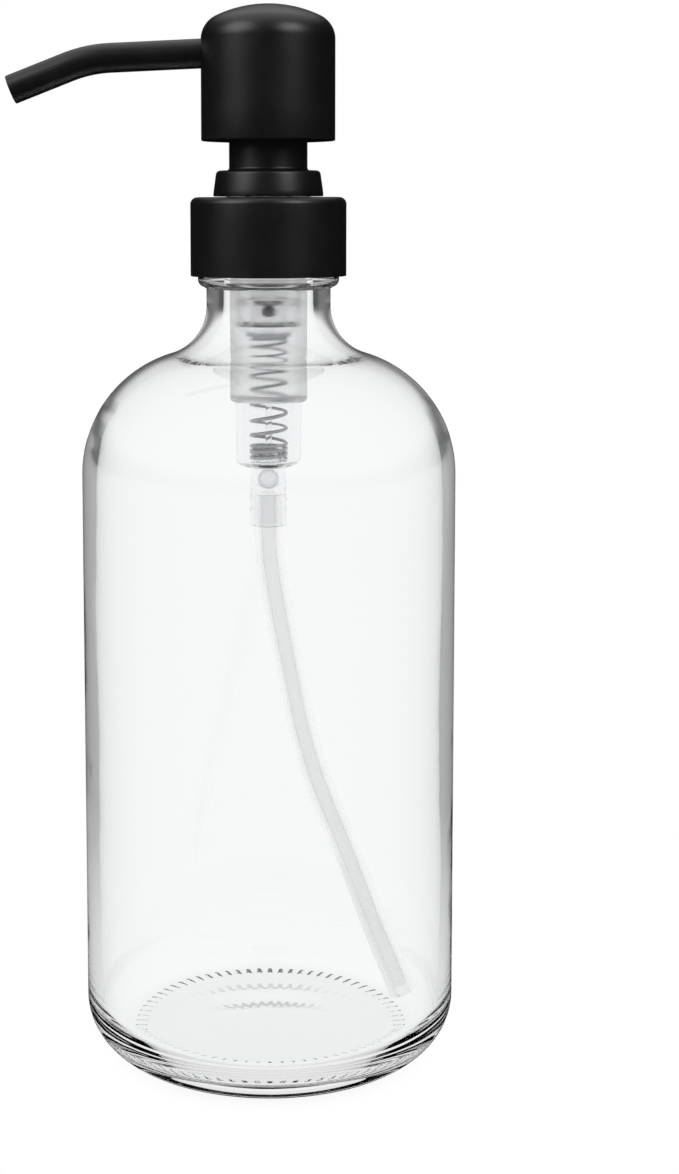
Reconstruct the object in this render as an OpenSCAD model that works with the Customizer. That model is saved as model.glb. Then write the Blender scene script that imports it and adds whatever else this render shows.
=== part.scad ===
// Soap pump dispenser: a black metal lotion pump on a clear glass Boston round bottle.
// Millimetres, +Z up. Origin on the bottle's axis, in the plane the bottle stands on.
// The spout points along -X. Everything is drawn at rest: pump up, collar screwed tight.

/* [Bottle] */
// outside diameter of the glass body
bottle_d = 74.4; // [73.6:0.1:76]
// height of the lip above the table
lip_z = 168.6; // [168.5:0.05:168.7]
// thickness of the glass wall
glass_wall = 2.6; // [2.2:0.1:3.0]
// top of the straight part of the body
straight_z = 117.3; // [116.5:0.1:118]
// radius of the round shoulder
shoulder_r = 24.8; // [24.2:0.1:25.2]
// outside radius of the neck under the bead
neck_r = 12.3; // [12.1:0.1:12.5]
// radius of the hollow curve between neck and shoulder, outside
neck_curve_r = 10; // [9:0.5:10.5]
// bore of the neck
neck_bore_r = 8.9; // [8.8:0.05:9]
// radius of the curve from the bore into the shoulder, inside
entry_curve_r = 13; // [11:0.5:13.5]
// radius of the rounded heel
heel_r = 11; // [10:0.5:11.5]
// height of the push-up in the middle of the foot
push_up_h = 1.2; // [0.8:0.1:2]

/* [Neck finish] */
// radius over the screw thread
thread_r = 13.7; // [13.6:0.05:13.75]
// radius of the neck between the threads
finish_r = 12.5; // [12.4:0.05:12.55]
// rise of the thread in one turn
thread_pitch = 4.23; // [4.2:0.01:4.26]
// radius of the bead below the collar
bead_r = 14; // [13.8:0.1:14.2]
// middle height of the bead
bead_z = 155.9; // [155.8:0.05:156]

/* [Pump head] */
// total height of the dispenser
total_h = 209.55; // [209.4:0.05:209.8]
// outside radius of the head
head_r = 13.2; // [13.1:0.05:13.3]
// height of the head's lower rim
head_rim_z = 183; // [182.5:0.1:184]
// radius of the crown's top curve
crown_r = 24; // [23.5:0.5:25]
// radius of the crown's edge curve
crown_edge_r = 5; // [4.8:0.1:5.2]

/* [Spout] */
// outside radius of the spout tube
spout_r = 2.9; // [2.8:0.05:3]
// slope of the spout where it leaves the head, in degrees
spout_slope = 2.6; // [2:0.2:4]
// slope of the spout's last part, in degrees
tip_slope = 21.4; // [18:0.2:25]
// length from the axis to the start of the bend
spout_run = 31; // [29:0.5:33]
// radius of the bend's centre line
spout_bend_r = 26; // [24:0.5:28]
// length of the straight part after the bend
spout_tip_run = 12.1; // [10:0.1:14]

/* [Collar and ring] */
// outside radius of the collar
collar_r = 15.42; // [15.3:0.02:15.6]
// lower edge of the collar
collar_z = 156.5; // [156.3:0.1:157]
// top face of the collar
collar_top_z = 172; // [171.95:0.01:172.05]
// outside radius of the ring on the collar, at its foot
ring_foot_r = 10.88; // [10.8:0.02:11]
// outside radius of the ring at its top
ring_top_r = 10.35; // [10.3:0.05:10.4]
// top face of the ring
ring_top_z = 177.2; // [177.1:0.1:177.5]
// outside radius of the sleeve that the head slides over
sleeve_r = 7.73; // [7.7:0.01:7.8]
// top end of that sleeve
sleeve_top_z = 185.5; // [185:0.1:185.8]

/* [Pump engine] */
// outside radius of the cup
cup_r = 7.65; // [7.6:0.01:7.7]
// bore of the cup, in which the piston runs
cup_bore_r = 6.6; // [6.55:0.01:6.65]
// bottom of the cup
cup_z = 131.8; // [131.6:0.1:132]
// outside radius of the barrel under the cup
barrel_r = 6.5; // [6.3:0.05:6.5]
// bore of the barrel
barrel_bore_r = 5.2; // [5.1:0.05:5.3]
// bottom of the barrel
barrel_z = 118.7; // [118.6:0.05:118.8]
// outside radius of the socket that holds the dip tube
socket_r = 3.6; // [3.5:0.05:3.7]
// lower end of the socket
socket_z = 106.7; // [106.5:0.1:107.5]
// outside radius of the stem
stem_r = 3.6; // [3.55:0.01:3.65]
// bore of the stem
stem_bore_r = 1.9; // [1.85:0.05:1.95]
// radius of the ball at the inlet
inlet_ball_r = 2.1; // [2.05:0.05:2.2]
// radius of the ball at the outlet
outlet_ball_r = 1.5; // [1.45:0.01:1.52]
// thickness of the spring's wire
wire_d = 0.65; // [0.6:0.05:0.7]
// mean radius of the spring
spring_r = 3.55; // [3.5:0.05:3.65]

/* [Dip tube] */
// outside radius of the dip tube
tube_r = 2.8; // [2.75:0.01:2.82]
// bore of the dip tube
tube_bore_r = 2.1; // [2:0.05:2.2]
// length of its straight lower part
tube_tail = 41; // [38:1:42]

/* [Hidden] */
$fn = 96;
// clearances: pressed together, sliding, and a hair to keep two solids apart
fit = 0.03;
slide_fit = 0.06;
hair = 0.02;
// how far a cutter runs past the solid that it cuts
over = 1;

body_r = bottle_d / 2;
shoulder_c_r = body_r - shoulder_r;
inner_shoulder_r = shoulder_r - glass_wall;
inner_heel_r = 8;
inner_floor_z = 5;
lip_edge_r = 0.8;
bead_edge_r = 1.6;
thread_z = 161.2;
// the flat ring that the bottle stands on, and the knurls across it
foot_r = body_r - heel_r;
push_up_r = foot_r - 1.2;
knurl_n = 72;
knurl_r = foot_r - 0.6;
knurl_l = 2.6;
knurl_w = 1;
knurl_depth = 0.28;

// metal covers
shell_t = 0.5;
head_t = 0.9;
collar_edge_r = 1.4;
ring_edge_r = 0.85;
sleeve_edge_r = 0.4;
sleeve_fillet_r = 0.6;
ring_foot_z = collar_top_z + 0.15;

// heights where the fixed parts of the pump meet
flange_z = lip_z + 1;
flange_top_z = lip_z + 1.95;
flange_r = 12.6;
skirt_z = 158;
snap_z = 165;
snap_r = 0.65;
guide_z = 164.2;
guide_top_z = 175.8;
disc_r = 9.8;
disc_top_z = 176.55;
cup_floor_z = 133;
cup_edge_r = 1.2;
barrel_edge_r = 2;
barrel_floor_z = barrel_z + 1.3;
chamber_r = 2.45;
seat_z = 114.5;
seat_r = 1.5;
tube_top_z = 112.9;
tube_straight_z = 106;
vent_z = 160.4;
vent_r = 0.6;

// spring and plunger
spring_z0 = barrel_floor_z + hair;
spring_z1 = 143.9;
washer_t = 0.7;
close_pitch = 0.95;
close_turns = 3;
open_turns = 6;
stem_z0 = 152.2;
stem_z1 = 197.8;
piston_z = 146.3;
outlet_seat_z = 148.6;
inlet_ball_z = 116;
outlet_ball_z = 149.75;
hub_z = 196.2;
plate_z = 200.6;
core_r = head_r - head_t - 0.05;
spout_z = 200.6;
spout_wall = 0.45;
spout_socket = 4.4;
liner_bore_r = 1.6;

// radius and angle of each bend of the dip tube
tube_bends = [[70, 9], [500, 3], [130, 9.8]];

glass = [0.85, 0.92, 0.92, 0.35];
black = [0.09, 0.09, 0.09];
black_plastic = [0.14, 0.14, 0.14];
frost = [0.92, 0.93, 0.94];
rubber = [0.85, 0.85, 0.83];
steel = [0.7, 0.7, 0.72];

// ---- small helpers ----

// a ring of rectangular section
module ring(r_out, r_in, z0, z1) {
    translate([0, 0, z0])
        difference() {
            cylinder(r = r_out, h = z1 - z0);
            translate([0, 0, -over]) cylinder(r = r_in, h = z1 - z0 + 2 * over);
        }
}

// a rectangle of a half profile: from radius r0 to r1, between two heights
module slab(r0, r1, z0, z1) {
    translate([r0, z0]) square([r1 - r0, z1 - z0]);
}

// what a half profile has cut out of it from the axis to radius r
module bore(r, z0, z1) {
    slab(-over, r, z0, z1);
}

// a disc of a half profile
module dot(r, z, edge_r) {
    translate([r, z]) circle(r = edge_r);
}

// a quarter disc of a half profile, above (up = 1) or below (up = 0) its centre
module quarter(r, z, edge_r, up) {
    translate([r, z])
        intersection() {
            circle(r = edge_r);
            translate([0, up ? 0 : -edge_r]) square(edge_r);
        }
}

// children copied n times round the axis
module around(n, start = 0) {
    for (i = [0:n - 1])
        rotate([0, 0, start + 360 / n * i]) children();
}

// one helical ridge about Z: root and crest radius, foot and crest half width
module screw_ridge(r_root, r_crest, w_root, w_crest, z0, turns, steps = 40) {
    n = ceil(turns * steps);
    fade = 5;
    function taper(i) = min(1, min(i, n - i) / fade + 0.02);
    function crest(i) = r_root + (r_crest - r_root) * taper(i);
    function section(i) =
        let (a = 360 * i / steps, z = z0 + thread_pitch * i / steps, c = crest(i))
        [for (q = [[r_root, -w_root], [c, -w_crest], [c, w_crest], [r_root, w_root]])
            [q[0] * cos(a), q[0] * sin(a), z + q[1]]];
    outward = r_crest > r_root;
    pts = [for (i = [0:n]) each section(i)];
    walls = [for (i = [0:n - 1], k = [0:3], h = [0, 1])
        let (p = 4 * i + k, q = 4 * i + (k + 1) % 4)
        h == 0 ? [p, q, q + 4] : [p, q + 4, p + 4]];
    m = 4 * n;
    ends = [[2, 1, 0], [3, 2, 0], [m, m + 1, m + 2], [m, m + 2, m + 3]];
    faces = concat(walls, ends);
    flipped = [for (f = faces) [f[2], f[1], f[0]]];
    polyhedron(points = pts, faces = outward ? faces : flipped, convexity = 6);
}

// a short sleeve, a hair wider than the bar, that welds two lengths of bar end to end
module weld(r) {
    translate([0, 0, -0.3]) cylinder(r = r + hair, h = 0.6);
}

// a bend of the given radius and angle, in the XZ plane from the -X side of its circle
module bend(r, bend_r, a) {
    gap = 0.6 / bend_r;
    rotate([90, 0, 0]) rotate([0, 0, 180 + gap])
        rotate_extrude(angle = a - 2 * gap)
            translate([bend_r, 0]) circle(r = r);
}

// ---- bottle ----

// a hollow curve of radius c leads from a neck of radius n into a shoulder of radius s:
// height of the curve's centre, and radius where it meets the shoulder
function curve_z(n, c, s) =
    straight_z + sqrt(pow(s + c, 2) - pow(n + c - shoulder_c_r, 2));
function curve_meet_r(n, c, s) = shoulder_c_r + s * (n + c - shoulder_c_r) / (s + c);

// outline of the glass, right half
module glass_outline() {
    curve_c_z = curve_z(neck_r, neck_curve_r, shoulder_r);
    meet_r = curve_meet_r(neck_r, neck_curve_r, shoulder_r);
    push_up_curve_r = (push_up_r * push_up_r + push_up_h * push_up_h) / (2 * push_up_h);
    difference() {
        union() {
            slab(0, foot_r, 0, heel_r);
            quarter(foot_r, heel_r, heel_r, 0);
            slab(0, body_r, heel_r, straight_z);
            // round shoulder
            quarter(shoulder_c_r, straight_z, shoulder_r, 1);
            slab(0, shoulder_c_r, straight_z - over, straight_z + shoulder_r);
            // flare into the neck, cut hollow below
            slab(0, meet_r, straight_z + shoulder_r / 2, curve_c_z);
            slab(0, neck_r, curve_c_z - over, bead_z);
            // bead under the collar
            dot(bead_r - bead_edge_r, bead_z, bead_edge_r);
            slab(0, bead_r - bead_edge_r, bead_z - bead_edge_r, bead_z + bead_edge_r);
            // finish and rounded lip
            slab(0, finish_r, bead_z, lip_z - lip_edge_r);
            slab(0, finish_r - lip_edge_r, lip_z - over, lip_z);
            dot(finish_r - lip_edge_r, lip_z - lip_edge_r, lip_edge_r);
        }
        // hollow curve from neck to shoulder
        dot(neck_r + neck_curve_r, curve_c_z, neck_curve_r);
        // push-up, inside the ring that the bottle stands on
        intersection() {
            dot(0, push_up_h - push_up_curve_r, push_up_curve_r);
            slab(0, push_up_r, 0, push_up_h);
        }
    }
}

// the space inside the glass, right half
module glass_hollow() {
    in_r = body_r - glass_wall;
    curve_c_z = curve_z(neck_bore_r, entry_curve_r, inner_shoulder_r);
    meet_r = curve_meet_r(neck_bore_r, entry_curve_r, inner_shoulder_r);
    slab(0, in_r - inner_heel_r, inner_floor_z, inner_floor_z + inner_heel_r);
    quarter(in_r - inner_heel_r, inner_floor_z + inner_heel_r, inner_heel_r, 0);
    slab(0, in_r, inner_floor_z + inner_heel_r, straight_z);
    quarter(shoulder_c_r, straight_z, inner_shoulder_r, 1);
    slab(0, shoulder_c_r, straight_z - over, straight_z + inner_shoulder_r);
    slab(0, neck_bore_r, straight_z, lip_z + over);
    // round entry from the neck into the shoulder
    difference() {
        slab(0, meet_r, straight_z, curve_c_z);
        dot(neck_bore_r + entry_curve_r, curve_c_z, entry_curve_r);
    }
}

module glass_bottle() {
    color(glass)
        difference() {
            union() {
                rotate_extrude()
                    difference() {
                        glass_outline();
                        glass_hollow();
                    }
                screw_ridge(finish_r - 0.3, thread_r, 1.35, 0.45, thread_z, 1.15);
            }
            // fine radial knurls across the ring that the bottle stands on
            around(knurl_n)
                translate([knurl_r, -knurl_w / 2, -over])
                    cube([knurl_l, knurl_w, over + knurl_depth]);
        }
}

// ---- fixed parts of the pump ----

module neck_gasket() {
    color(rubber)
        ring(finish_r - 0.1, cup_r + 0.05, lip_z + hair, flange_z);
}

module pump_housing() {
    color(frost)
        difference() {
            rotate_extrude()
                difference() {
                    union() {
                        slab(0, flange_r, flange_z, flange_top_z);
                        // cup
                        slab(0, cup_r, cup_z + cup_edge_r, flange_top_z);
                        slab(0, cup_r - cup_edge_r, cup_z, cup_z + cup_edge_r + over);
                        dot(cup_r - cup_edge_r, cup_z + cup_edge_r, cup_edge_r);
                        // barrel
                        slab(0, barrel_r, barrel_z + barrel_edge_r, cup_z + over);
                        slab(0, barrel_r - barrel_edge_r, barrel_z, barrel_z + 3);
                        dot(barrel_r - barrel_edge_r, barrel_z + barrel_edge_r, barrel_edge_r);
                        // socket for the dip tube
                        slab(0, socket_r, socket_z, barrel_z + over);
                    }
                    bore(cup_bore_r, cup_floor_z, flange_top_z + over);
                    bore(barrel_bore_r, barrel_floor_z, cup_floor_z + over);
                    bore(chamber_r, seat_z, barrel_floor_z + over);
                    bore(seat_r, tube_top_z - over, seat_z + over);
                    bore(tube_r + hair, socket_z - over, tube_top_z);
                    // groove for the chaplet's snap bead
                    dot(cup_bore_r - 0.3, snap_z, snap_r + fit);
                }
            // vent into the bottle
            translate([0, 0, vent_z]) rotate([90, 0, 0]) cylinder(r = vent_r, h = 10);
        }
}

// cage over the inlet ball, with the pin that the spring stands round
module ball_cage() {
    z = barrel_floor_z;
    in_r = 2;
    pin_r = 0.6;
    pin_top_z = z + 10.7;
    drop = 0.9;
    color(frost)
        union() {
            difference() {
                union() {
                    ring(2.95, in_r, z, z + 1.6);
                    ring(chamber_r - hair, in_r, z - 1.3, z + 0.5);
                }
                // three ways out for the liquid
                around(3) translate([1.5, -0.5, z + 0.7]) cube([2, 1, 2]);
            }
            // three spokes that hold the pin
            around(3, 60) translate([0, -0.4, z - drop]) cube([in_r + 0.3, 0.8, 1.4]);
            translate([0, 0, z - drop]) cylinder(r = pin_r, h = pin_top_z - z + drop);
            translate([0, 0, pin_top_z]) sphere(r = pin_r);
        }
}

module inlet_ball() {
    color(frost) translate([0, 0, inlet_ball_z]) sphere(r = inlet_ball_r);
}

// one bend of the dip tube towards +X, drawn downwards; children go on from its end
module lean(r, bend_r, a) {
    weld(r);
    translate([bend_r, 0, 0]) bend(r, bend_r, a);
    translate([bend_r * (1 - cos(a)), 0, -bend_r * sin(a)])
        rotate([0, -a, 0]) children();
}

// a round bar along the dip tube: straight in the socket, then three bends and a straight tail
module tube_bar(r, tail) {
    straight = tube_top_z - tube_straight_z;
    translate([0, 0, tube_straight_z]) {
        translate([0, 0, hair / 2]) cylinder(r = r, h = straight - hair);
        lean(r, tube_bends[0][0], tube_bends[0][1])
            lean(r, tube_bends[1][0], tube_bends[1][1])
                lean(r, tube_bends[2][0], tube_bends[2][1]) {
                    weld(r);
                    translate([0, 0, -tail]) cylinder(r = r, h = tail - hair / 2);
                }
    }
}

module dip_tube() {
    color(frost)
        difference() {
            tube_bar(tube_r, tube_tail);
            tube_bar(tube_bore_r, tube_tail + over);
            // the bore's open upper end
            translate([0, 0, tube_top_z - 2]) cylinder(r = tube_bore_r, h = 3);
        }
}

// plastic core of the chaplet: snaps into the cup, guides the stem
module chaplet_core() {
    socket_top_z = sleeve_top_z - 0.75;
    color(frost)
        rotate_extrude()
            difference() {
                union() {
                    slab(0, cup_bore_r - fit, skirt_z, flange_top_z + 0.05);
                    dot(cup_bore_r - 0.3, snap_z, snap_r - fit);
                    slab(0, 8.3, flange_top_z + 0.01, collar_top_z + 0.3);
                    slab(0, disc_r, collar_top_z + 0.15, disc_top_z);
                    slab(0, sleeve_r - 0.63, disc_top_z - over, socket_top_z);
                }
                bore(stem_r + 1.1, skirt_z - over, flange_z);
                bore(5.7, skirt_z - over, guide_z);
                bore(stem_r + slide_fit, flange_z - over, guide_top_z + over);
                bore(5.6, guide_top_z, socket_top_z + over);
            }
}

// drawn metal cover of the chaplet: ring at the foot, sleeve above
module chaplet_shell() {
    edge_z = ring_top_z - ring_edge_r;
    color(black)
        rotate_extrude()
            difference() {
                union() {
                    // tapered ring with a rounded upper edge
                    polygon([[0, ring_foot_z], [ring_foot_r - 0.25, ring_foot_z],
                        [ring_foot_r, ring_foot_z + 0.25], [ring_top_r, edge_z], [0, edge_z]]);
                    dot(ring_top_r - ring_edge_r, edge_z, ring_edge_r);
                    slab(0, ring_top_r - ring_edge_r, edge_z - over, ring_top_z);
                    // sleeve with a rounded upper edge
                    slab(0, sleeve_r, ring_top_z - over, sleeve_top_z - sleeve_edge_r);
                    slab(0, sleeve_r - sleeve_edge_r, sleeve_top_z - over, sleeve_top_z);
                    dot(sleeve_r - sleeve_edge_r, sleeve_top_z - sleeve_edge_r, sleeve_edge_r);
                    // small fillet at the sleeve's foot
                    difference() {
                        slab(sleeve_r - 0.2, sleeve_r + sleeve_fillet_r, ring_top_z - 0.1,
                            ring_top_z + sleeve_fillet_r);
                        dot(sleeve_r + sleeve_fillet_r, ring_top_z + sleeve_fillet_r + 0.05,
                            sleeve_fillet_r);
                    }
                }
                bore(disc_r + hair, ring_foot_z - over, disc_top_z + hair);
                bore(sleeve_r - 0.6, ring_foot_z - over, sleeve_top_z - 0.7);
                bore(5.9, sleeve_top_z - over, sleeve_top_z + over);
            }
}

// lip seal round the stem, held in the chaplet's skirt
module stem_seal() {
    in_r = stem_r + 0.05;
    out_r = 5.67;
    top_z = guide_z - 0.1;
    lip_bottom_z = top_z - 3.4;
    color(rubber)
        rotate_extrude()
            difference() {
                union() {
                    slab(stem_r + 0.7, out_r, top_z - 2.5, top_z);
                    slab(in_r, out_r, top_z - 1, top_z);
                    polygon([[in_r, lip_bottom_z], [in_r + 0.3, lip_bottom_z],
                        [stem_r + 1.4, top_z - 0.8], [stem_r + 0.5, top_z - 0.8]]);
                }
                bore(in_r, lip_bottom_z - over, top_z + over);
            }
}

// ---- collar ----

module closure_core() {
    out_r = collar_r - shell_t - hair;
    edge_r = 1.2;
    top_z = collar_top_z - shell_t - hair;
    color(black_plastic)
        union() {
            rotate_extrude()
                difference() {
                    union() {
                        slab(0, out_r, skirt_z, top_z - edge_r + hair);
                        slab(0, out_r - edge_r, skirt_z, top_z);
                        dot(out_r - edge_r, top_z - edge_r, edge_r);
                    }
                    bore(13.98, skirt_z - over, flange_top_z + 0.05);
                    bore(8.5, skirt_z - over, collar_top_z + over);
                }
            screw_ridge(14.1, 12.9, 1.2, 0.4, thread_z - 1.53, 1.2);
        }
}

module collar_shell() {
    in_r = collar_r - shell_t;
    in_edge_r = collar_edge_r - shell_t;
    in_top_z = collar_top_z - shell_t;
    color(black)
        rotate_extrude()
            difference() {
                union() {
                    slab(0, collar_r, collar_z, collar_top_z - collar_edge_r);
                    slab(0, collar_r - collar_edge_r, collar_z, collar_top_z);
                    dot(collar_r - collar_edge_r, collar_top_z - collar_edge_r, collar_edge_r);
                }
                bore(in_r, collar_z - over, in_top_z - in_edge_r);
                bore(in_r - in_edge_r, collar_z - over, in_top_z);
                dot(in_r - in_edge_r, in_top_z - in_edge_r, in_edge_r);
                bore(8.45, collar_z, collar_top_z + over);
            }
}

// ---- spring ----

// half turns of round wire, each lying in a tilted plane, welded end to end
module coil(z0, z1, turns) {
    half_n = 2 * turns;
    rise = (z1 - z0) / half_n;
    tilt = atan(rise / (2 * spring_r));
    r = sqrt(spring_r * spring_r + rise * rise / 4);
    gap = 0.3;
    weld_l = 0.24;
    for (i = [0:half_n - 1])
        rotate([0, 0, 180 * i])
            translate([0, 0, z0 + rise * (i + 0.5)]) {
                rotate([0, tilt, 0])
                    rotate([0, 0, gap])
                        rotate_extrude(angle = 180 - 2 * gap)
                            translate([r, 0]) circle(d = wire_d);
                translate([spring_r, -weld_l / 2, -rise / 2])
                    rotate([-90, 0, 0]) cylinder(d = wire_d + 0.03, h = weld_l);
            }
}

module spring() {
    lo = spring_z0 + wire_d / 2;
    hi = spring_z1 - wire_d / 2;
    open_lo = lo + close_turns * close_pitch;
    open_hi = hi - close_pitch;
    color(steel)
        union() {
            coil(lo, open_lo, close_turns);
            coil(open_lo, open_hi, open_turns);
            coil(open_hi, hi, 1);
        }
}

// ---- plunger ----

module spring_washer() {
    color(steel)
        ring(spring_r + 1, 1.7, spring_z1 + hair, spring_z1 + hair + washer_t);
}

module stem() {
    color(frost)
        union() {
            ring(stem_r, stem_bore_r, stem_z0, stem_z1);
            // three stops that keep the outlet ball down
            around(3) translate([1.1, -0.4, stem_z0 + 0.1]) cube([1.2, 0.8, 1.6]);
        }
}

// plug on the stem's lower end: carries the seal, holds the outlet ball's seat
module piston_core() {
    z0 = spring_z1 + washer_t + 2 * hair;
    cup_top_z = 157.9;
    color(frost)
        rotate_extrude()
            difference() {
                union() {
                    slab(0, stem_r - 0.2, z0, stem_z0 + 2);
                    slab(0, 5.3, z0 + 0.3, piston_z - 0.05);
                    slab(0, 6.2, stem_z0 - 0.15, cup_top_z);
                }
                bore(stem_r + hair, stem_z0, cup_top_z + over);
                bore(stem_bore_r, outlet_seat_z, stem_z0 + over);
                bore(1, z0 - over, outlet_seat_z + over);
            }
}

// double lip seal that runs in the cup
module piston_seal() {
    in_r = stem_r - 0.17;
    web_r = 4.6;
    lip = cup_bore_r - 0.05;
    waist = lip - 0.5;
    root = lip - 0.75;
    z0 = piston_z;
    z1 = piston_z + 5.6;
    color(frost)
        rotate_extrude()
            polygon([[in_r, z0 + 0.9], [web_r, z0 + 0.9], [root, z0], [lip - 0.1, z0],
                [lip, z0 + 0.5], [waist, z0 + 2.2], [waist, z1 - 2.2], [lip, z1 - 0.5],
                [lip - 0.1, z1], [root, z1], [web_r, z1 - 0.9], [in_r, z1 - 0.9]]);
}

module outlet_ball() {
    color(steel) translate([0, 0, outlet_ball_z]) sphere(r = outlet_ball_r);
}

// ---- head ----

// puts children along the spout's first straight part, +X pointing out of the head
module along_spout() {
    translate([0, 0, spout_z]) rotate([0, 0, 180]) rotate([0, spout_slope, 0]) children();
}

// a bar along the spout's first straight part
module spout_bar(r, x0, length) {
    along_spout() translate([x0, 0, 0]) rotate([0, 90, 0]) cylinder(r = r, h = length);
}

// a round bar that follows the spout's centre line from x0 to its tip
module spout_path(r, x0, short = 0) {
    turn = tip_slope - spout_slope;
    spout_bar(r, x0, spout_run - x0 - hair / 2);
    along_spout() {
        translate([spout_run, 0, 0]) rotate([0, 90, 0]) weld(r);
        translate([spout_run, 0, -spout_bend_r]) {
            rotate([0, 0, 180]) rotate([0, 90, 0]) bend(r, spout_bend_r, turn);
            rotate([0, turn, 0]) translate([0, 0, spout_bend_r]) rotate([0, 90, 0]) {
                weld(r);
                translate([0, 0, hair / 2]) cylinder(r = r, h = spout_tip_run - short);
            }
        }
    }
}

// domed outline of the head, shrunk inwards by t, right half
module head_outline(t, z_low) {
    edge_c_r = head_r - crown_edge_r;
    crown_c_z = total_h - crown_r;
    edge_c_z = crown_c_z + sqrt(pow(crown_r - crown_edge_r, 2) - edge_c_r * edge_c_r);
    slab(0, head_r - t, z_low, edge_c_z);
    slab(0, edge_c_r, z_low, edge_c_z + 0.5);
    quarter(edge_c_r, edge_c_z, crown_edge_r - t, 1);
    // crown, between the axis and the line through both centres
    intersection() {
        dot(0, crown_c_z, crown_r - t);
        polygon([[0, crown_c_z], [edge_c_r * 3, crown_c_z + (edge_c_z - crown_c_z) * 3],
            [0, total_h + crown_r]]);
        slab(0, head_r, edge_c_z - over, total_h);
    }
}

module head_shell() {
    color(black)
        difference() {
            rotate_extrude()
                difference() {
                    head_outline(0, head_rim_z);
                    head_outline(head_t, head_rim_z - over);
                }
            spout_bar(spout_r + fit, 8, 8);
        }
}

module head_core() {
    rib_n = 8;
    spout_rib = rib_n / 2;
    color(black_plastic)
        difference() {
            union() {
                // socket for the stem, hub, cover plate and locating skirt
                translate([0, 0, 186.2]) cylinder(r = 5.2, h = 12);
                translate([0, 0, hub_z]) cylinder(r = 7, h = 6.5);
                translate([0, 0, plate_z]) cylinder(r = core_r, h = 2);
                ring(core_r, core_r - 1.05, 188, plate_z + 0.1);
                // socket for the spout
                intersection() {
                    spout_bar(4.2, 0, 13);
                    cylinder(r = core_r - 0.35, h = total_h);
                }
                for (i = [0:rib_n - 1])
                    if (i != spout_rib)
                        rotate([0, 0, 360 / rib_n * i])
                            translate([6, -0.5, hub_z + 1.3]) cube([core_r - 6.65, 1, 4]);
            }
            translate([0, 0, 180]) cylinder(r = stem_r + hair, h = stem_z1 - 180);
            translate([0, 0, 190]) cylinder(r = stem_bore_r, h = spout_z - 190);
            // channel from the stem into the spout
            spout_bar(liner_bore_r, -1, 10);
            spout_bar(spout_r + hair, spout_socket, 20);
        }
}

module spout_tube() {
    color(black)
        difference() {
            spout_path(spout_r, spout_socket + 0.05);
            spout_path(spout_r - spout_wall, spout_socket - 0.1, -1);
        }
}

module spout_liner() {
    color(frost)
        difference() {
            spout_path(spout_r - spout_wall - hair, spout_socket + 0.1, 0.6);
            spout_path(liner_bore_r, spout_socket - 0.1, -1);
        }
}

glass_bottle();
neck_gasket();
pump_housing();
ball_cage();
inlet_ball();
dip_tube();
chaplet_core();
chaplet_shell();
stem_seal();
closure_core();
collar_shell();
spring();
spring_washer();
stem();
piston_core();
piston_seal();
outlet_ball();
head_core();
head_shell();
spout_tube();
spout_liner();
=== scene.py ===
"""Soap pump dispenser: a black metal lotion pump on a clear glass Boston round bottle.

Metres, +Z up, the bottle's axis on Z, the spout along -X. Lengths below are in millimetres
and go through mm() where they meet Blender.
"""

import math

import bpy
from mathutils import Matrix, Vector


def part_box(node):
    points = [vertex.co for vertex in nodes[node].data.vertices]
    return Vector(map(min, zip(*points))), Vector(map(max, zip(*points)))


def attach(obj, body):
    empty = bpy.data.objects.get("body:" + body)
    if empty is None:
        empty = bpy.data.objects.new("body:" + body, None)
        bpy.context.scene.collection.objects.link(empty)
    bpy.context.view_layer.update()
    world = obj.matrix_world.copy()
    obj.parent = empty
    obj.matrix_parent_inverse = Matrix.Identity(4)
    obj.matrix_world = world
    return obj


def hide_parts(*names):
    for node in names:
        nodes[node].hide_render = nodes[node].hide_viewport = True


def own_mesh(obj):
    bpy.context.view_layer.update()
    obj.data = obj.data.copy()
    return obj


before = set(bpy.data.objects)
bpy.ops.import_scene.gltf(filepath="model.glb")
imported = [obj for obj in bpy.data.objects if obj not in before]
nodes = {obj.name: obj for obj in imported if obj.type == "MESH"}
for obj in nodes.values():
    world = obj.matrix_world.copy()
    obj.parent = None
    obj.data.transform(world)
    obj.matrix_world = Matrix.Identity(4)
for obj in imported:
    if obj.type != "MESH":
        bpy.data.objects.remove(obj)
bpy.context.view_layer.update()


def mm(x):
    """Millimetres in metres."""
    return x * 0.001


def top(node):
    """The height of a CAD node's highest point, in millimetres."""
    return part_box(node)[1].z * 1000


def bottom(node):
    """The height of its lowest point."""
    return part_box(node)[0].z * 1000


def radius(node):
    """The radius of a round CAD node on the Z axis."""
    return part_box(node)[1].y * 1000


# ---------------------------------------------------------------- camera and studio

# Light levels. BACKDROP is the white surroundings, and CONTACT_SHADE is a painted shadow that
# darkens the floor under the bottle. The glows are what a ray meets after a reflection inside the
# glass: in front and behind, at the sides, high up, on the floor near the bottle and far from it,
# and deep in the pump's plastic. ROOM is the dim room that black metal reflects, and the last three
# its lamps.
BACKDROP, CONTACT_SHADE = 1.0, 0.88
BACK_GLOW, SIDE_GLOW, HIGH_GLOW = 0.2, 0.09, 0.9
NEAR_FLOOR_GLOW, FAR_FLOOR_GLOW, DEEP_GLOW = 0.9, 0.52, 1.0
ROOM, KEY, FILL, SKY = 0.011, 4.5, 6.0, 1.3

# lamps: azimuth from -Y towards +X, height and half angle, in degrees, and level
LAMPS = ((-59, 34, 22, KEY), (45, 34, 17, FILL), (180, 75, 40, SKY))

# a ray that crossed more surfaces than this is deep in the pump's plastic
DEEP_CROSSINGS = 3.5

# where each step of light begins and ends: how far a direction points along Y, how much it
# points up, and the floor's distance from the axis, in metres
SIDE_STEP, RISE_STEP = (0.6, 0.86), (0.03, 0.28)
NEAR_STEP, HORIZON_STEP, SHADE_STEP = (0.04, 0.2), (0.8, 5.5), (0.024, 0.035)
FLOOR_R, FLOOR_Z_M = 6, -0.0002

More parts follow.
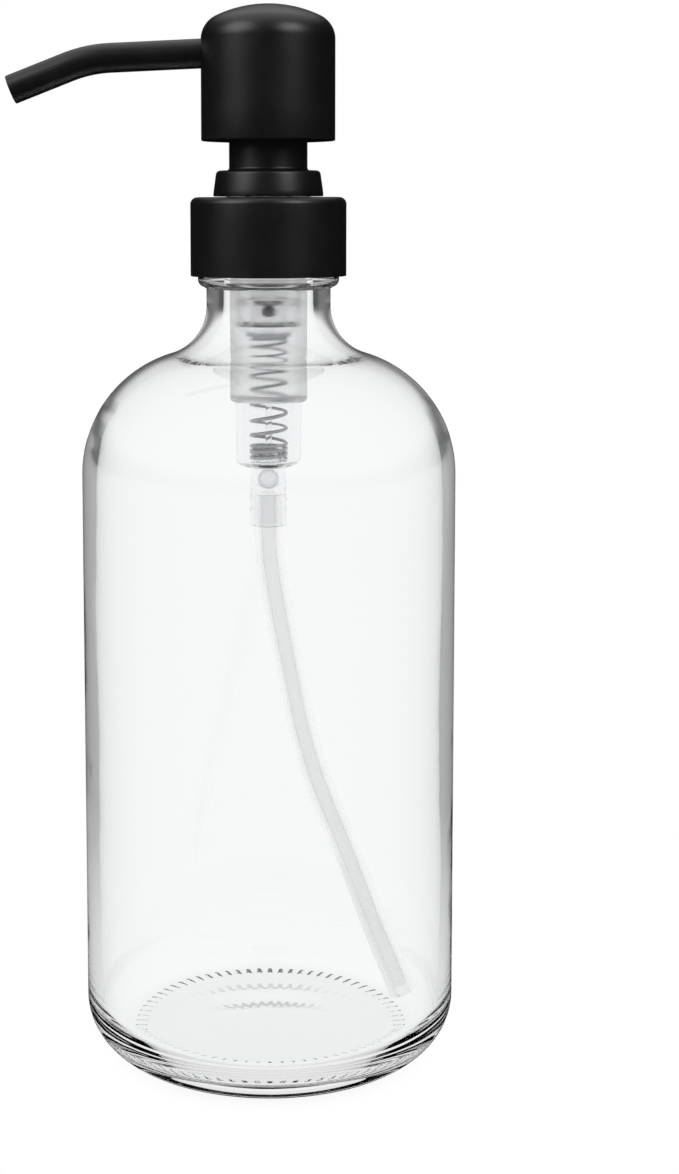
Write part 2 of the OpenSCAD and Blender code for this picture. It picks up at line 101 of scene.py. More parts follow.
# light paths through the bottle and the pump cross many surfaces
BOUNCES, DIFFUSE_BOUNCES, GLOSSY_BOUNCES, TRANSMISSION_BOUNCES = 24, 16, 20, 24


def add_camera():
    """Level with the collar, 0.39 m in front of the axis, tilted down at the table."""
    data = bpy.data.cameras.new("camera")
    data.sensor_width = 36
    data.lens = 59.84
    data.shift_x = 0.0606
    data.shift_y = -0.1534
    camera = bpy.data.objects.new("camera", data)
    camera.location = (0, mm(-387.4), mm(170))
    camera.rotation_euler = (math.radians(90 - 5.84), math.radians(0.11), 0)
    bpy.context.collection.objects.link(camera)
    bpy.context.scene.camera = camera


def maths(tree, operation, *values):
    """A math node's result. A value is a number or another node's output."""
    node = tree.nodes.new("ShaderNodeMath")
    node.operation = operation
    for socket, value in zip(node.inputs, values):
        if isinstance(value, (int, float)):
            socket.default_value = value
        else:
            tree.links.new(value, socket)
    return node.outputs[0]


def choose(tree, fac, low, high):
    """low where fac is 0, high where it is 1."""
    step = maths(tree, "SUBTRACT", high, low)
    return maths(tree, "MULTIPLY_ADD", fac, step, low)


def studio_light(tree, own_depth, inside, outside):
    """A light level that depends on how a ray came here: straight on through clear glass or
    from a milky surface, after a reflection inside the glass, after a long way through the
    pump's plastic, or after a reflection outside. own_depth is the depth that a ray straight
    from the camera has here."""
    path = tree.nodes.new("ShaderNodeLightPath")
    crossed = path.outputs["Transmission Depth"]
    turned = maths(tree, "SUBTRACT", path.outputs["Ray Depth"], crossed)
    straight = maths(tree, "LESS_THAN", turned, own_depth + 0.5)
    scattered = maths(tree, "GREATER_THAN", path.outputs["Diffuse Depth"], 0.5)
    in_glass = maths(tree, "GREATER_THAN", crossed, 0.5)
    deep = maths(tree, "GREATER_THAN", crossed, DEEP_CROSSINGS)
    mirrored = path.outputs["Is Singular Ray"]
    outside = choose(tree, mirrored, outside, ROOM)
    reflected = choose(tree, in_glass, outside, choose(tree, deep, inside, DEEP_GLOW))
    return choose(tree, maths(tree, "MAXIMUM", straight, scattered), reflected, BACKDROP)


def soft_lamp(tree, facing, azimuth, height, half_angle, level):
    """A round lamp with a soft edge, in the world: azimuth from -Y towards +X, in degrees."""
    a, h = math.radians(azimuth), math.radians(height)
    aim = tree.nodes.new("ShaderNodeVectorMath")
    aim.operation = "DOT_PRODUCT"
    aim.inputs[1].default_value = (
        math.sin(a) * math.cos(h), -math.cos(a) * math.cos(h), math.sin(h))
    tree.links.new(facing, aim.inputs[0])
    edge = tree.nodes.new("ShaderNodeMapRange")
    edge.interpolation_type = "SMOOTHSTEP"
    edge.inputs["From Min"].default_value = math.cos(math.radians(half_angle * 1.3))
    edge.inputs["From Max"].default_value = math.cos(math.radians(half_angle * 0.5))
    edge.inputs["To Max"].default_value = level
    tree.links.new(aim.outputs["Value"], edge.inputs["Value"])
    return edge.outputs[0]


def ramp(tree, value, x0, x1, low, high):
    """A soft step from low at x0 to high at x1."""
    step = tree.nodes.new("ShaderNodeMapRange")
    step.interpolation_type = "SMOOTHSTEP"
    step.inputs["From Min"].default_value = x0
    step.inputs["From Max"].default_value = x1
    step.inputs["To Min"].default_value = low
    step.inputs["To Max"].default_value = high
    tree.links.new(value, step.inputs["Value"])
    return step.outputs[0]


def side_glow(tree, direction):
    """The glow inside the glass along the horizon: brighter in front and behind."""
    parts = tree.nodes.new("ShaderNodeSeparateXYZ")
    tree.links.new(direction, parts.inputs[0])
    along = maths(tree, "ABSOLUTE", parts.outputs["Y"])
    return ramp(tree, along, *SIDE_STEP, SIDE_GLOW, BACK_GLOW)


def add_world():
    """Bright behind the glass. What is reflected sees a dim room with three soft lamps."""
    world = bpy.data.worlds.new("studio")
    world.use_nodes = True
    world.cycles.sampling_method = "NONE"
    tree = world.node_tree
    background = tree.nodes["Background"]
    background.inputs["Color"].default_value = (1, 1, 1, 1)
    facing = tree.nodes.new("ShaderNodeTexCoord").outputs["Generated"]
    key, fill, sky = [soft_lamp(tree, facing, *lamp) for lamp in LAMPS]
    room = maths(tree, "ADD", maths(tree, "ADD", key, fill), maths(tree, "ADD", sky, ROOM))
    parts = tree.nodes.new("ShaderNodeSeparateXYZ")
    tree.links.new(facing, parts.inputs[0])
    rise = ramp(tree, parts.outputs["Z"], *RISE_STEP, 0, 1)
    inside = choose(tree, rise, side_glow(tree, facing), HIGH_GLOW)
    level = studio_light(tree, 1, inside, room)
    tree.links.new(level, background.inputs["Strength"])
    bpy.context.scene.world = world


def add_floor():
    """A white floor that reaches the horizon, darkened under the bottle by a painted shadow."""
    mesh = bpy.data.meshes.new("floor")
    rim = [(FLOOR_R * math.cos(a), FLOOR_R * math.sin(a), FLOOR_Z_M) for a in turn(96)]
    mesh.from_pydata(rim, [], [list(range(len(rim)))])
    floor = bpy.data.objects.new("floor", mesh)
    bpy.context.collection.objects.link(floor)
    material = bpy.data.materials.new("white_floor")
    material.use_nodes = True
    material.cycles.emission_sampling = "NONE"
    tree = material.node_tree
    tree.nodes.remove(tree.nodes["Principled BSDF"])
    light = tree.nodes.new("ShaderNodeEmission")
    where = tree.nodes.new("ShaderNodeTexCoord").outputs["Object"]
    reach = tree.nodes.new("ShaderNodeVectorMath")
    reach.operation = "LENGTH"
    tree.links.new(where, reach.inputs[0])
    reach = reach.outputs["Value"]
    direction = tree.nodes.new("ShaderNodeVectorMath")
    direction.operation = "NORMALIZE"
    tree.links.new(where, direction.inputs[0])
    horizon = side_glow(tree, direction.outputs[0])
    glow = ramp(tree, reach, *NEAR_STEP, NEAR_FLOOR_GLOW, FAR_FLOOR_GLOW)
    glow = choose(tree, ramp(tree, reach, *HORIZON_STEP, 0, 1), glow, horizon)
    # painted shadow: the floor's light is dimmed near the bottle's axis, in place of a cast shadow
    shade = ramp(tree, reach, *SHADE_STEP, CONTACT_SHADE, 1.0)
    level = maths(tree, "MULTIPLY", studio_light(tree, 0, glow, ROOM), shade)
    tree.links.new(level, light.inputs["Strength"])
    tree.links.new(light.outputs[0], tree.nodes["Material Output"].inputs["Surface"])
    mesh.materials.append(material)


def turn(n, start=0.0):
    """n angles round a full circle, in radians."""
    return [start + math.tau * i / n for i in range(n)]


# ---------------------------------------------------------------- meshes


def arc(cx, cz, r, a0, a1, n=10):
    """Points of an arc in the (radius, height) plane, in degrees, both ends included."""
    steps = [math.radians(a0 + (a1 - a0) * i / n) for i in range(n + 1)]
    return [(cx + r * math.cos(a), cz + r * math.sin(a)) for a in steps]


def clean(outline):
    """The outline without points that repeat the one before."""
    kept = []
    for p in outline:
        if not kept or math.dist(p, kept[-1]) > 1e-4:
            kept.append(p)
    return kept


def make(name, points, faces, materials, sharp=35):
    """A smooth-shaded object from points in millimetres."""
    mesh = bpy.data.meshes.new(name)
    mesh.from_pydata([tuple(mm(c) for c in p) for p in points], [], faces)
    mesh.validate()
    for material in materials:
        mesh.materials.append(material)
    mesh.shade_smooth()
    mesh.set_sharp_from_angle(angle=math.radians(sharp))
    piece = bpy.data.objects.new(name, mesh)
    bpy.context.collection.objects.link(piece)
    return piece


def lathe(name, outline, material, steps=192, shape=None, sharp=35):
    """Turns a closed outline of (radius, height) round Z. Points at radius 0 become one point.
    The outline runs anticlockwise in the (radius, height) plane. shape(r, z, a) may move a point."""
    outline = clean(outline)
    points, rings = [], []
    for r, z in outline:
        if r < 1e-6:
            rings.append([len(points)] * steps)
            points.append((0, 0, z))
            continue
        rings.append(list(range(len(points), len(points) + steps)))
        for a in turn(steps):
            rr, zz = shape(r, z, a) if shape else (r, z)
            points.append((rr * math.cos(a), rr * math.sin(a), zz))
    faces = []
    for i, ring in enumerate(rings):
        nxt = rings[(i + 1) % len(rings)]
        if ring[0] == ring[1] and nxt[0] == nxt[1]:
            continue
        for k in range(steps):
            m = (k + 1) % steps
            quad = [ring[k], ring[m], nxt[m], nxt[k]]
            faces.append(list(dict.fromkeys(quad)))
    return make(name, points, faces, [material], sharp)


def frames_along(path):
    """A normal and a side at each point of a path, carried along it without twist."""
    path = [Vector(p) for p in path]
    count = len(path)
    tangents = [
        (path[min(i + 1, count - 1)] - path[max(i - 1, 0)]).normalized() for i in range(count)
    ]
    normal = tangents[0].orthogonal().normalized()
    out = []
    for p, t in zip(path, tangents):
        normal = (normal - t * normal.dot(t)).normalized()
        out.append((p, normal, t.cross(normal)))
    return out


def tube(name, path, r_out, r_in, material, sides=48, edge=0.0):
    """A tube with its own wall along a path, both ends cut square, the edges eased by edge."""
    carried = frames_along(path)
    rings = []

    def ring(at, r, along=0.0):
        p, n, s = carried[at]
        t = n.cross(s)
        return [p + t * along + (n * math.cos(a) + s * math.sin(a)) * r for a in turn(sides)]

    last = len(path) - 1
    rings.append(ring(0, r_out - edge))
    rings += [ring(i, r_out, edge if i == 0 else -edge if i == last else 0) for i in range(last + 1)]
    rings.append(ring(last, r_out - edge))
    if r_in:
        rings.append(ring(last, r_in + edge / 2))
        rings += [ring(i, r_in) for i in range(last, -1, -1)]
    points = [q for one in rings for q in one]
    faces = []
    count = len(rings)
    for i in range(count if r_in else count - 1):
        a, b = i * sides, (i + 1) % count * sides
        for k in range(sides):
            m = (k + 1) % sides
            faces.append([a + k, b + k, b + m, a + m])
    if not r_in:
        faces.append(list(range(sides)))
        faces.append([(count - 1) * sides + k for k in reversed(range(sides))])
    return make(name, points, faces, [material])


def stand_in(piece, body, *cad_nodes):
    """The piece rides on a body and takes the place of CAD nodes."""
    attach(piece, body)
    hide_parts(*cad_nodes)
    return piece


# ---------------------------------------------------------------- materials


def new_material(name):
    """A material, its node tree and its main shader."""
    material = bpy.data.materials.new(name)
    material.use_nodes = True
    tree = material.node_tree
    return material, tree, tree.nodes["Principled BSDF"]


def noise(tree, scale, detail=3.0, rough=0.55):
    """Noise in the object's own metres: scale is in features per metre."""
    where = tree.nodes.new("ShaderNodeTexCoord")
    texture = tree.nodes.new("ShaderNodeTexNoise")
    texture.inputs["Scale"].default_value = scale
    texture.inputs["Detail"].default_value = detail
    texture.inputs["Roughness"].default_value = rough
    tree.links.new(where.outputs["Object"], texture.inputs["Vector"])
    return texture.outputs["Fac"]


def spread(tree, value, low, high):
    """Maps a noise value from its usual span to low..high."""
    span = tree.nodes.new("ShaderNodeMapRange")
    span.inputs["From Min"].default_value = 0.3
    span.inputs["From Max"].default_value = 0.7
    span.inputs["To Min"].default_value = low
    span.inputs["To Max"].default_value = high
    tree.links.new(value, span.inputs["Value"])
    return span.outputs[0]


def mix(tree, fac, low, high):
    """A colour between low and high."""
    blend = tree.nodes.new("ShaderNodeMix")
    blend.data_type = "RGBA"
    blend.inputs["A"].default_value = (*low, 1)
    blend.inputs["B"].default_value = (*high, 1)
    tree.links.new(fac, blend.inputs["Factor"])
    return blend.outputs["Result"]


def bump(tree, height, strength, depth):
    """A bump of the given depth in metres."""
    node = tree.nodes.new("ShaderNodeBump")
    node.inputs["Strength"].default_value = strength
    node.inputs["Distance"].default_value = depth
    tree.links.new(height, node.inputs["Height"])
    return node.outputs["Normal"]


def black_coat():
    """Satin black coating on metal, with a very fine grain."""
    material, tree, surface = new_material("black_coated_metal")
    grain = noise(tree, 3200, 3)
    patches = noise(tree, 160, 4)
    tree.links.new(mix(tree, patches, (0.0035, 0.0035, 0.0037), (0.006, 0.006, 0.0062)),
                   surface.inputs["Base Color"])
    tree.links.new(spread(tree, patches, 0.34, 0.41), surface.inputs["Roughness"])
    tree.links.new(bump(tree, grain, 0.5, 0.00003), surface.inputs["Normal"])
    surface.inputs["Specular IOR Level"].default_value = 0.45
    return material


def clear_glass():
    """Flint glass whose surface waves a little, as blown glass does."""
    material, tree, surface = new_material("clear_glass")
    waves = noise(tree, 38, 2, 0.4)
    surface.inputs["Base Color"].default_value = (0.992, 0.996, 0.997, 1)
    surface.inputs["Transmission Weight"].default_value = 1
    surface.inputs["Roughness"].default_value = 0
    surface.inputs["IOR"].default_value = 1.5
    tree.links.new(bump(tree, waves, 0.12, 0.0012), surface.inputs["Normal"])
    return material


def milky(name, colour, rough, ior=1.45, mottle=420):
    """Natural polypropylene: lets light through and scatters it. The real index is about
    1.49. A lower ior lets more light out of thin walls and makes them lighter."""
    material, tree, surface = new_material(name)
    cloud = noise(tree, mottle, 4)
    shade = tuple(c * 0.97 for c in colour)
    tree.links.new(mix(tree, cloud, shade, colour), surface.inputs["Base Color"])
    tree.links.new(spread(tree, cloud, rough * 0.85, rough * 1.15), surface.inputs["Roughness"])
    tree.links.new(bump(tree, noise(tree, 900, 2), 0.05, 0.00003), surface.inputs["Normal"])
    surface.inputs["Transmission Weight"].default_value = 1
    surface.inputs["IOR"].default_value = ior
    return material


def steel(name, tone, rough):
    """Bright steel with fine drawn lines."""
    material, tree, surface = new_material(name)
    lines = noise(tree, 2600, 3)
    tree.links.new(mix(tree, lines, [t * 0.8 for t in tone], tone), surface.inputs["Base Color"])
    tree.links.new(spread(tree, lines, rough * 0.7, rough * 1.3), surface.inputs["Roughness"])
    tree.links.new(bump(tree, lines, 0.2, 0.00001), surface.inputs["Normal"])
    surface.inputs["Metallic"].default_value = 1
    return material


def moulded(name, colour, rough):
    """Moulded plastic or rubber with a faint texture."""
    material, tree, surface = new_material(name)
    cloud = noise(tree, 700, 4)
    tree.links.new(mix(tree, cloud, [c * 0.8 for c in colour], colour), surface.inputs["Base Color"])
    tree.links.new(spread(tree, cloud, rough * 0.9, rough * 1.1), surface.inputs["Roughness"])
    tree.links.new(bump(tree, noise(tree, 3000, 2), 0.2, 0.00003), surface.inputs["Normal"])
    return material


# ---------------------------------------------------------------- bottle

BODY_R = radius("glass_bottle")
NECK_R, BORE_R, FINISH_R, BEAD_R, BEAD_Z = 12.3, 8.9, 12.5, 14.0, 155.9
SHOULDER_R, STRAIGHT_Z, NECK_CURVE_R, ENTRY_R = 24.8, 117.3, 10.0, 13.0
HEEL_R, WALL, IN_HEEL_R, FLOOR_Z = 11.0, 2.6, 8.0, 5.0
BEAD_EDGE_R, LIP_EDGE_R, LIP_IN_EDGE_R, BEARING_W = 1.6, 0.8, 0.5, 1.2
PUSH_UP_Z, KNURLS, KNURL_L, KNURL_DEPTH = 1.2, 72, 2.6, 0.42
THREAD_R, THREAD_PITCH, THREAD_Z = 13.7, 4.23, 161.2


def shoulder_to_neck(neck, curve, shoulder, body, n=14):
    """Round shoulder, then the hollow curve up into the neck, from the body upwards."""
    centre = body - SHOULDER_R
    rise = math.sqrt((shoulder + curve) ** 2 - (neck + curve - centre) ** 2)
    lean = math.degrees(math.atan2(rise, neck + curve - centre))
    up = arc(centre, STRAIGHT_Z, shoulder, 0, lean, 2 * n)
    return up + arc(neck + curve, STRAIGHT_Z + rise, curve, lean + 180, 180, n)


def glass_outline():
    """The bottle's outline: under the base, up the outside, over the lip and down inside."""
    body = BODY_R
    lip = top("glass_bottle")
    inner = body - WALL
    foot = body - HEEL_R
    push_up = foot - BEARING_W
    dome = [push_up * i / 20 for i in range(21)]
    outside = [(r, PUSH_UP_Z * (1 + math.cos(math.pi * r / push_up)) / 2) for r in dome]
    outside += [(foot - 0.9 + 0.3 * i, 0) for i in range(4)]
    outside += arc(body - HEEL_R, HEEL_R, HEEL_R, 270, 360, 40)
    outside += [(body, 20 + 10 * i) for i in range(10)]
    outside += shoulder_to_neck(NECK_R, NECK_CURVE_R, SHOULDER_R, body)
    outside += [(NECK_R, BEAD_Z - 1.9)]
    outside += arc(BEAD_R - BEAD_EDGE_R, BEAD_Z, BEAD_EDGE_R, -78, 78, 16)
    outside += [(FINISH_R, BEAD_Z + 1.9), (FINISH_R, lip - LIP_EDGE_R)]
    outside += arc(FINISH_R - LIP_EDGE_R, lip - LIP_EDGE_R, LIP_EDGE_R, 0, 90, 8)
    inside = arc(BORE_R + LIP_IN_EDGE_R, lip - LIP_IN_EDGE_R, LIP_IN_EDGE_R, 90, 180, 6)
    rising = shoulder_to_neck(BORE_R, ENTRY_R, SHOULDER_R - WALL, body)
    inside += rising[::-1]
    inside += [(inner, 110 - 10 * i) for i in range(10)]
    inside += arc(inner - IN_HEEL_R, FLOOR_Z + IN_HEEL_R, IN_HEEL_R, 360, 270, 26)
    inside += [(22, FLOOR_Z + 0.05), (15, FLOOR_Z + 0.2), (8, FLOOR_Z + 0.4), (0, FLOOR_Z + 0.5)]
    return outside + inside


def glass_shape(r, z, a):
    """Knurls round the bearing ring, and the slightly uneven inner wall of blown glass."""
    along = r - (BODY_R - HEEL_R - 0.8)
    if z < 0.5 and 0 < along < KNURL_L + 0.4:
        edge = min(1, along / 0.5, (KNURL_L + 0.4 - along) / 0.6)
        groove = max(0.0, math.cos(KNURLS * a)) ** 2
        return r, z + KNURL_DEPTH * edge * groove
    inner = 30 < r < 36 and 14 < z < 130
    if inner:
        ripple = 0.05 * math.sin(3 * a + 0.06 * z) + 0.03 * math.sin(7 * a - 0.11 * z + 1.3)
        return r + ripple, z
    return r, z


def helix_ridge(name, r_root, r_crest, w_root, w_crest, z0, turns, material):
    """One screw ridge, its ends fading into the wall."""
    steps = 96
    count = int(turns * steps)
    points, faces = [], []
    for i in range(count + 1):
        a = math.tau * i / steps
        fade = min(1, min(i, count - i) / 12 + 0.02)
        crest = r_root + (r_crest - r_root) * fade
        z = z0 + THREAD_PITCH * i / steps
        for r, dz in ((r_root, -w_root), (crest, -w_crest), (crest, w_crest), (r_root, w_root)):
            points.append((r * math.cos(a), r * math.sin(a), z + dz))
    for i in range(count):
        for k in range(4):
            m = (k + 1) % 4
            faces.append([4 * i + k, 4 * i + 4 + k, 4 * i + 4 + m, 4 * i + m])
    faces += [[0, 1, 2, 3], [4 * count + k for k in (3, 2, 1, 0)]]
    if r_crest > r_root:
        faces = [f[::-1] for f in faces]
    return make(name, points, faces, [material], 25)


def make_bottle(glass):
    """The bottle and its screw thread."""
    bottle = lathe("bottle_glass", glass_outline(), glass, 576, glass_shape, 50)
    stand_in(bottle, "bottle", "glass_bottle")
    thread = helix_ridge("bottle_thread", FINISH_R + 0.01, THREAD_R, 1.2, 0.45,
                         THREAD_Z, 1.15, glass)
    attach(thread, "bottle")


# ---------------------------------------------------------------- black metal covers

CROWN_R, CROWN_EDGE_R, HEAD_WALL = 24.0, 5.0, 0.9
RING_TOP, RING_EDGE_R, SLEEVE_R, SLEEVE_FILLET_R, SLEEVE_EDGE_R = 177.2, 0.85, 7.73, 0.6, 0.4
COLLAR_WALL, COLLAR_EDGE_R = 0.5, 1.4
SPOUT_Z, SPOUT_SLOPE, TIP_SLOPE = 200.6, 2.6, 21.4
SPOUT_RUN, SPOUT_BEND_R, SPOUT_TIP_RUN = 31.0, 26.0, 12.1


def head_outline():
    """The head cover: a skirt with a low crown."""
    r, height, rim = radius("head_shell"), top("head_shell"), bottom("head_shell")
    crown_z = height - CROWN_R
    edge_r = r - CROWN_EDGE_R
    edge_z = crown_z + math.sqrt((CROWN_R - CROWN_EDGE_R) ** 2 - edge_r**2)
    meet = math.degrees(math.atan2(edge_z - crown_z, edge_r))
    wall = HEAD_WALL
    outside = arc(r - 0.25, rim + 0.25, 0.25, 270, 360, 5) + [(r, rim + 6), (r, rim + 12)]
    outside += arc(edge_r, edge_z, CROWN_EDGE_R, 0, meet, 20)
    outside += arc(0, crown_z, CROWN_R, meet, 90, 18)[:-1] + [(0, height)]
    inside = [(0, height - wall)] + arc(0, crown_z, CROWN_R - wall, 90, meet, 10)[1:]
    inside += arc(edge_r, edge_z, CROWN_EDGE_R - wall, meet, 0, 10)
    inside += [(r - wall, rim + 0.25)] + arc(r - wall + 0.2, rim + 0.2, 0.2, 180, 270, 4)
    return outside + inside


def spout_path(x0, short=0.0):
    """The spout's centre line from x0 out of the axis to its tip."""
    slope, tip = math.radians(SPOUT_SLOPE), math.radians(TIP_SLOPE)
    out = Vector((-math.cos(slope), 0, -math.sin(slope)))
    start = Vector((0, 0, SPOUT_Z))
    path = [start + out * (x0 + (SPOUT_RUN - x0) * i / 12) for i in range(12)]
    bend_start = start + out * SPOUT_RUN
    down = Vector((math.sin(slope), 0, -math.cos(slope)))
    centre = bend_start + down * SPOUT_BEND_R
    for i in range(25):
        a = slope + (tip - slope) * i / 24
        path.append(centre + Vector((-math.sin(a), 0, math.cos(a))) * SPOUT_BEND_R)
    last = Vector((-math.cos(tip), 0, -math.sin(tip)))
    path += [path[-1] + last * (SPOUT_TIP_RUN - short) * (i + 1) / 6 for i in range(6)]
    return path


def ring_outline():
    """The ring at the foot and the narrow sleeve above it."""
    foot_r, foot_z = radius("chaplet_shell"), bottom("chaplet_shell")
    top_r, sleeve_top = foot_r - 0.53, top("chaplet_shell")
    outside = [(9.82, foot_z), (foot_r - 0.25, foot_z)]
    outside += arc(foot_r - 0.25, foot_z + 0.25, 0.25, 270, 360, 5)
    outside += [(foot_r - 0.1, foot_z + 1.2), (foot_r - 0.27, foot_z + 2.4)]
    outside += arc(top_r - RING_EDGE_R, RING_TOP - RING_EDGE_R, RING_EDGE_R, 8, 90, 12)
    fillet, edge = SLEEVE_FILLET_R, SLEEVE_EDGE_R
    outside += arc(SLEEVE_R + fillet, RING_TOP + fillet, fillet, 270, 180, 8)
    outside += [(SLEEVE_R, RING_TOP + 3)]
    outside += arc(SLEEVE_R - edge, sleeve_top - edge, edge, 0, 90, 6)
    inside = [(5.9, sleeve_top), (5.9, sleeve_top - 0.7), (7.13, sleeve_top - 0.7)]
    inside += [(7.13, 176.57), (9.82, 176.57)]
    return outside + inside


def collar_outline():
    """The collar cover, with a rounded upper edge."""
    r, low, high = radius("collar_shell"), bottom("collar_shell"), top("collar_shell")
    wall, edge = COLLAR_WALL, COLLAR_EDGE_R
    outside = [(r - 0.1, low), (r, low + 0.1), (r, low + 5), (r, low + 10)]
    outside += arc(r - edge, high - edge, edge, 0, 90, 14)
    inside = [(8.45, high), (8.45, high - wall)]
    inside += arc(r - edge, high - edge, edge - wall, 90, 0, 10)
    inside += [(r - wall, low)]
    return outside + inside


def cut_spout_hole(head):
    """A round hole in the head's wall where the spout comes out."""
    path = spout_path(9.0)
    cutter = tube("cutter", [path[0], path[0] + (path[1] - path[0]).normalized() * 8],
                  2.93, 0, head.data.materials[0], 64)
    hole = head.modifiers.new("hole", "BOOLEAN")
    hole.operation = "DIFFERENCE"
    hole.solver = "EXACT"
    hole.object = cutter
    graph = bpy.context.evaluated_depsgraph_get()
    mesh = bpy.data.meshes.new_from_object(head.evaluated_get(graph))
    head.modifiers.clear()
    head.data = mesh
    bpy.data.objects.remove(cutter)


def make_metal(black):
    """The four black metal pieces."""
    head = lathe("head_cover", head_outline(), black, 256)
    cut_spout_hole(head)
    stand_in(head, "plunger", "head_shell")
    spout = tube("spout", spout_path(4.45), 2.9, 2.45, black, 64, 0.12)
    stand_in(spout, "plunger", "spout_tube")
    stand_in(lathe("ring_and_sleeve", ring_outline(), black, 256), "pump_body", "chaplet_shell")
    stand_in(lathe("collar", collar_outline(), black, 256), "collar", "collar_shell")


# ---------------------------------------------------------------- pump engine

CUP_R, CUP_BORE, CUP_Z, FLANGE_R, FLANGE_T = 7.65, 6.6, 131.8, 12.6, 0.95
BARREL_R, BARREL_BORE, BARREL_Z = 6.5, 5.2, 118.7
SOCKET_R, SOCKET_Z, CHAMBER_R, SEAT_Z = 3.6, 106.7, 2.45, 114.5
TUBE_R, TUBE_BORE, TUBE_TOP = 2.8, 2.1, 112.88
TUBE_START, TUBE_TAIL = 106.0, 41.0
TUBE_BENDS = ((70, 9), (500, 3), (130, 9.8))
WIRE_R, SPRING_R, CLOSE_PITCH = 0.325, 3.55, 0.95
FOOT_TURNS, OPEN_TURNS, HEAD_TURNS, TRAVEL = 3.0, 6.0, 1.0, 10.0


def cup_outline():
    """Flange and cup, down to where the barrel begins."""
    high = top("pump_housing")
    lip = high - FLANGE_T
    outside = [(BARREL_R - 0.3, CUP_Z)]
    outside += arc(CUP_R - 1.0, CUP_Z + 1.0, 1.0, 270, 360, 8)
    outside += [(CUP_R, 140), (CUP_R, 150), (CUP_R, lip - 0.3), (CUP_R + 0.3, lip)]
    outside += [(FLANGE_R, lip), (FLANGE_R, high), (CUP_BORE, high)]
    inside = [(CUP_BORE, 165.7), (CUP_BORE + 0.38, 165.2), (CUP_BORE + 0.38, 164.8)]
    inside += [(CUP_BORE, 164.3), (CUP_BORE, 150), (CUP_BORE, 140)]
    inside += arc(CUP_BORE - 0.6, 133.6, 0.6, 0, -90, 6) + [(BARREL_R - 0.3, 133)]
    return outside + inside


def barrel_outline():
    """Barrel, inlet chamber and the socket that holds the dip tube."""
    floor = BARREL_Z + 1.3
    outside = arc(SOCKET_R - 0.25, SOCKET_Z + 0.25, 0.25, 270, 360, 4)
    outside += [(SOCKET_R, 109.4), (SOCKET_R + 0.14, 109.8), (SOCKET_R, 110.2)]
    outside += [(SOCKET_R, 111.6), (SOCKET_R + 0.14, 112.0), (SOCKET_R, 112.4)]
    outside += arc(SOCKET_R + 0.4, BARREL_Z - 0.4, 0.4, 180, 90, 5)
    outside += arc(BARREL_R - 2, BARREL_Z + 2, 2, 270, 360, 12)
    outside += [(BARREL_R, 125), (BARREL_R, CUP_Z + 0.2), (BARREL_R - 0.3, CUP_Z + 0.5)]
    inside = [(BARREL_R - 0.3, 133), (BARREL_BORE, 133), (BARREL_BORE, 126)]
    inside += arc(BARREL_BORE - 0.5, floor + 0.5, 0.5, 0, -90, 5)
    inside += [(CHAMBER_R, floor), (CHAMBER_R, SEAT_Z + 0.5), (1.5, SEAT_Z), (1.5, TUBE_TOP + 0.1)]
    inside += [(TUBE_R + 0.02, TUBE_TOP + 0.1), (TUBE_R + 0.02, SOCKET_Z + 0.2)]
    inside += [(TUBE_R + 0.2, SOCKET_Z)]
    return outside + inside


def dip_path():
    """The dip tube's centre line from its top to its end."""
    path = [Vector((0, 0, TUBE_TOP - (TUBE_TOP - TUBE_START) * i / 6)) for i in range(6)]
    p, a = Vector((0, 0, TUBE_START)), 0.0
    for bend_r, degrees in TUBE_BENDS:
        centre = p + Vector((math.cos(a), 0, math.sin(a))) * bend_r
        start = a
        count = max(6, int(degrees * 1.5))
        for i in range(count):
            a = start + math.radians(degrees) * i / count
            path.append(centre - Vector((math.cos(a), 0, math.sin(a))) * bend_r)
        a = start + math.radians(degrees)
        p = centre - Vector((math.cos(a), 0, math.sin(a))) * bend_r
    tail = Vector((math.sin(a), 0, -math.cos(a)))
    path += [p + tail * TUBE_TAIL * i / 10 for i in range(11)]
    return path


def spring_path():
    """Close coils at both ends, open coils between, in even steps of turning."""
    low, high = bottom("spring") + WIRE_R, top("spring") - WIRE_R
    foot, open_turns, head = FOOT_TURNS, OPEN_TURNS, HEAD_TURNS
    steps = 36
    path = []
    for i in range(int((foot + open_turns + head) * steps) + 1):
        t = i / steps
        open_pitch = (high - low - CLOSE_PITCH * (foot + head)) / open_turns
        z = low + CLOSE_PITCH * min(t, foot)
        z += open_pitch * max(0, min(t - foot, open_turns))
        z += CLOSE_PITCH * max(0, t - foot - open_turns)
        path.append((SPRING_R * math.cos(math.tau * t), SPRING_R * math.sin(math.tau * t), z))
    return path


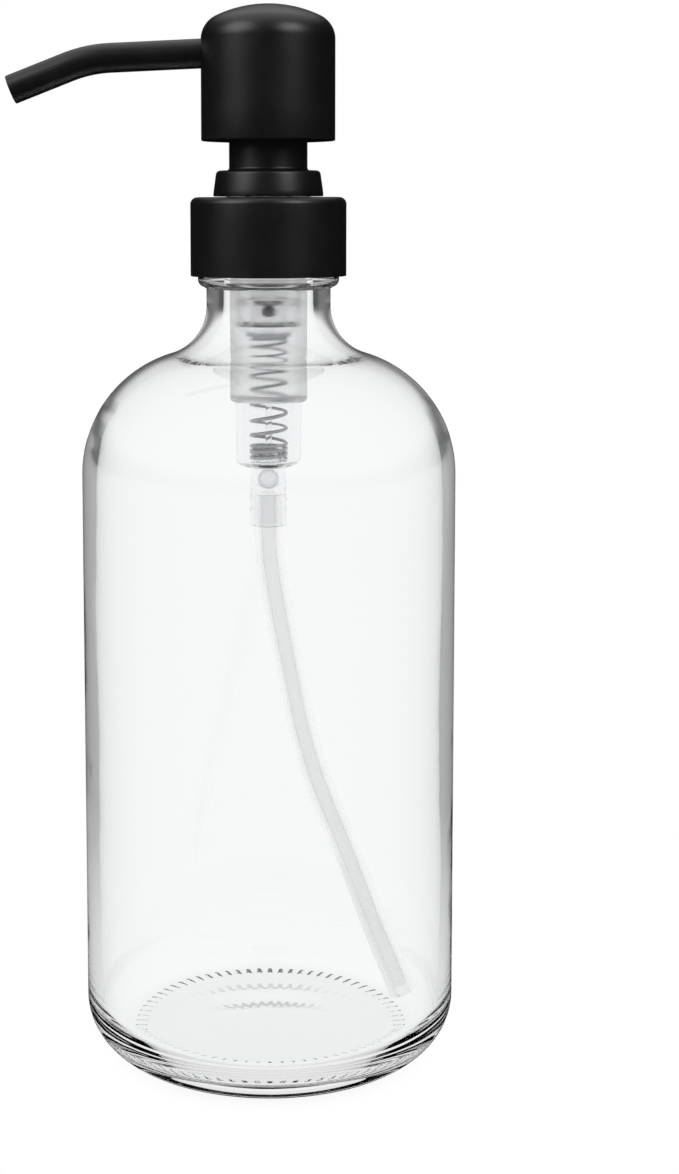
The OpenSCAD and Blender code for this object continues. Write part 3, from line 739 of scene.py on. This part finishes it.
def make_engine(cup, clear, straw, wire):
    """The pump's cup and barrel, the dip tube and the spring."""
    upper = lathe("pump_cup", cup_outline(), cup, 160)
    lower = lathe("pump_barrel", barrel_outline(), clear, 160)
    for piece in (upper, lower):
        stand_in(piece, "pump_body", "pump_housing")
    dip = tube("dip_straw", dip_path(), TUBE_R, TUBE_BORE, straw, 48, 0.06)
    stand_in(dip, "pump_body", "dip_tube")
    coil = tube("spring_wire", spring_path(), WIRE_R, 0, wire, 14, 0.05)
    stand_in(coil, "pump_body", "spring")
    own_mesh(coil)


def paint_cad(paints):
    """The inner CAD nodes keep their shapes and get real materials."""
    for name, material in paints.items():
        mesh = nodes[name].data
        mesh.materials.clear()
        mesh.materials.append(material)


# ---------------------------------------------------------------- scene

add_camera()
cycles = bpy.context.scene.cycles
cycles.max_bounces = BOUNCES
cycles.diffuse_bounces = DIFFUSE_BOUNCES
cycles.glossy_bounces = GLOSSY_BOUNCES
cycles.transmission_bounces = TRANSMISSION_BOUNCES
bpy.context.scene.view_settings.view_transform = "Standard"
add_world()
add_floor()
black = black_coat()
make_metal(black)
make_bottle(clear_glass())
cup = milky("cup_plastic", (0.985, 0.985, 0.987), 0.33, 1.24)
barrel = milky("barrel_plastic", (0.985, 0.985, 0.99), 0.08)
straw = milky("dip_tube_plastic", (0.955, 0.955, 0.955), 0.2)
wire = steel("spring_steel", (0.42, 0.42, 0.43), 0.3)
make_engine(cup, barrel, straw, wire)

inner = milky("inner_plastic", (0.985, 0.985, 0.987), 0.2, 1.3)
dark = moulded("black_plastic", (0.02, 0.02, 0.021), 0.5)
seal = milky("soft_seal", (0.95, 0.95, 0.94), 0.4, 1.3)
paint_cad({
    "neck_gasket": seal,
    "stem_seal": seal,
    "ball_cage": barrel,
    "inlet_ball": milky("inlet_ball_plastic", (0.96, 0.96, 0.965), 0.3),
    "outlet_ball": steel("ball_steel", (0.16, 0.16, 0.165), 0.2),
    "spring_washer": steel("washer_steel", (0.5, 0.5, 0.51), 0.35),
    "chaplet_core": inner,
    "closure_core": dark,
    "head_core": dark,
    "stem": inner,
    "piston_core": inner,
    "piston_seal": milky("piston_plastic", (0.985, 0.985, 0.987), 0.25, 1.25),
    "spout_liner": inner,
})
